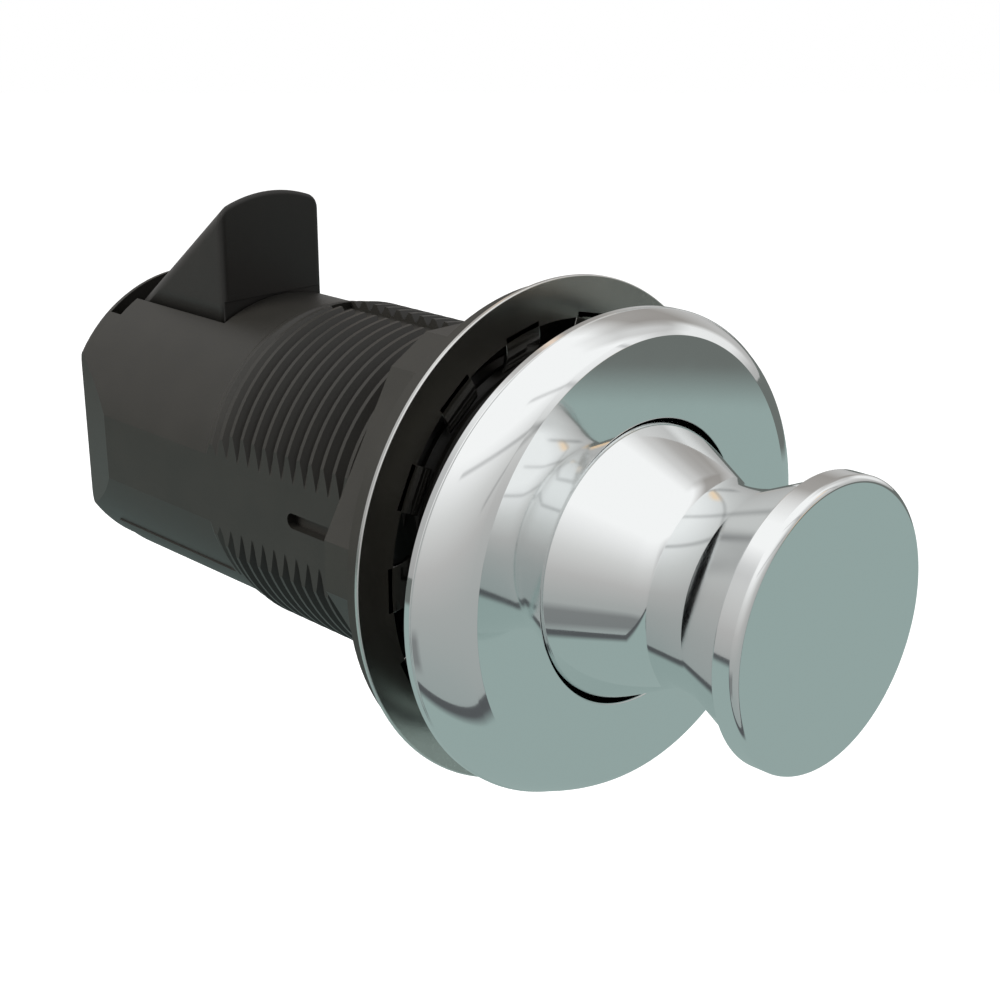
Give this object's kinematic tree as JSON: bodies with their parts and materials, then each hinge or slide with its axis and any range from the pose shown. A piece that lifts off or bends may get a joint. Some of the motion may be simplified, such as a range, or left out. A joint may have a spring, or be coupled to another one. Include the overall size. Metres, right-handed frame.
{
  "type": "push-to-close latch",
  "caption": "Round push-to-close panel latch: domed chrome bezel, waisted pull knob that pushes in flush, threaded barrel with clamp nut and fingered spring ring, ramped spring bolt.",
  "frame": {"origin": "on the latch axis, in the face of the panel that the bezel seats on", "axes": "+Y along the latch axis into the panel, away from the knob; +Z the way the bolt throws; +X to the right of someone who faces the knob"},
  "size_m": [0.057, 0.1037, 0.0594],
  "materials": {
    "chrome": "polished chrome plate on a die casting",
    "knob_chrome": "polished chrome plate",
    "rubber": "matte black rubber",
    "barrel_plastic": "fine grained black moulding",
    "cover_plastic": "fine grained black moulding",
    "nut_plastic": "fine grained black moulding",
    "bolt_plastic": "fine grained black moulding",
    "slide_plastic": "plain natural moulding",
    "dark_steel": "dark satin spring steel with a bright edge",
    "spring_steel": "drawn wire and clip steel",
    "steel": "turned steel"
  },
  "bodies": {
    "housing": {"bezel": "chrome", "panel_gasket": "rubber", "bezel_seal": "rubber", "bezel_clip": "spring_steel", "barrel": "barrel_plastic", "lower_cover": "cover_plastic", "clamp_nut": "nut_plastic", "spring_ring": "dark_steel", "bolt_spring": "spring_steel"},
    "slide": {"cam_slide": "slide_plastic", "catch_sleeve": "steel", "knob_spring": "spring_steel"},
    "knob": {"knob": "knob_chrome", "knob_seal": "rubber", "catch_pin": "steel", "spindle": "steel", "spindle_nut": "steel", "spindle_clip": "spring_steel"},
    "bolt": {"bolt": "bolt_plastic", "bolt_pin": "steel"}
  },
  "joints": [
    {"name": "knob_pull", "type": "slide", "parent": "housing", "child": "slide", "axis": [0, -1, 0], "range_m": [0, 0.007]},
    {"name": "knob_stow", "type": "slide", "parent": "slide", "child": "knob", "axis": [0, 1, 0], "range_m": [0, 0.0232], "stiffness_N_per_m": 120, "springref_m": -0.02, "deforming": ["knob_spring"]},
    {"name": "bolt_retract", "type": "slide", "parent": "housing", "child": "bolt", "axis": [0, 0, -1], "range_m": [0, 0.0125], "stiffness_N_per_m": 600, "springref_m": -0.01, "deforming": ["bolt_spring"]}
  ],
  "couplings": [
    {"joint": "bolt_retract", "follows": "knob_pull", "ratio": 1.7857}
  ]
}
